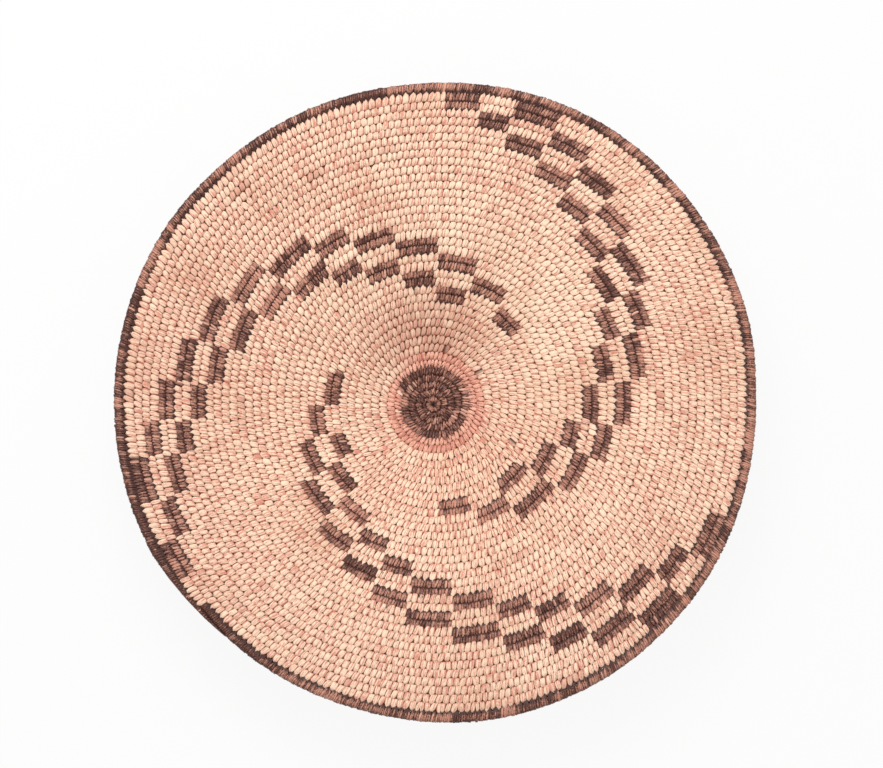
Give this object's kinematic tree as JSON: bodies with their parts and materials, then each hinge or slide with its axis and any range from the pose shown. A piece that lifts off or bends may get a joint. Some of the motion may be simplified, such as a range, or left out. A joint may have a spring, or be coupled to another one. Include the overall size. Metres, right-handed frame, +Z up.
{
  "type": "basketry tray",
  "caption": "Shallow round coiled basketry tray with a dark centre and whirling checkered arms on a light ground, bound with a dark rim.",
  "frame": {"origin": "middle of the tray's outline, on the surface that it rests on", "axes": "+Z up out of the hollow; +Y towards the top of the picture and +X towards its right, with the tray seen from above"},
  "size_m": [0.3608, 0.3592, 0.0505],
  "materials": {
    "light_splint": "split shoot, satin, warm straw",
    "dark_splint": "split dark pod or root, satin, faded brown-black",
    "salmon_splint": "split shoot, satin, salmon pink",
    "rim_splint": "dark binding, rubbed reddish brown in places",
    "foundation_rod": "peeled shoot, matt"
  },
  "bodies": {
    "root": {"start_knot": "dark_splint", "dark_centre": "dark_splint", "salmon_rounds": "salmon_splint", "plain_rounds": "light_splint", "light_field_ab": "light_splint", "light_field_bc": "light_splint", "light_field_ca": "light_splint", "arm_a_dark_left": "dark_splint", "arm_a_light_steps": "light_splint", "arm_a_dark_right": "dark_splint", "arm_b_dark_left": "dark_splint", "arm_b_light_steps": "light_splint", "arm_b_dark_right": "dark_splint", "arm_c_dark_left": "dark_splint", "arm_c_light_steps": "light_splint", "arm_c_dark_right": "dark_splint", "rim_binding": "rim_splint", "rim_rod_1": "foundation_rod", "rim_rod_2": "foundation_rod", "rim_rod_3": "foundation_rod"}
  },
  "joints": []
}
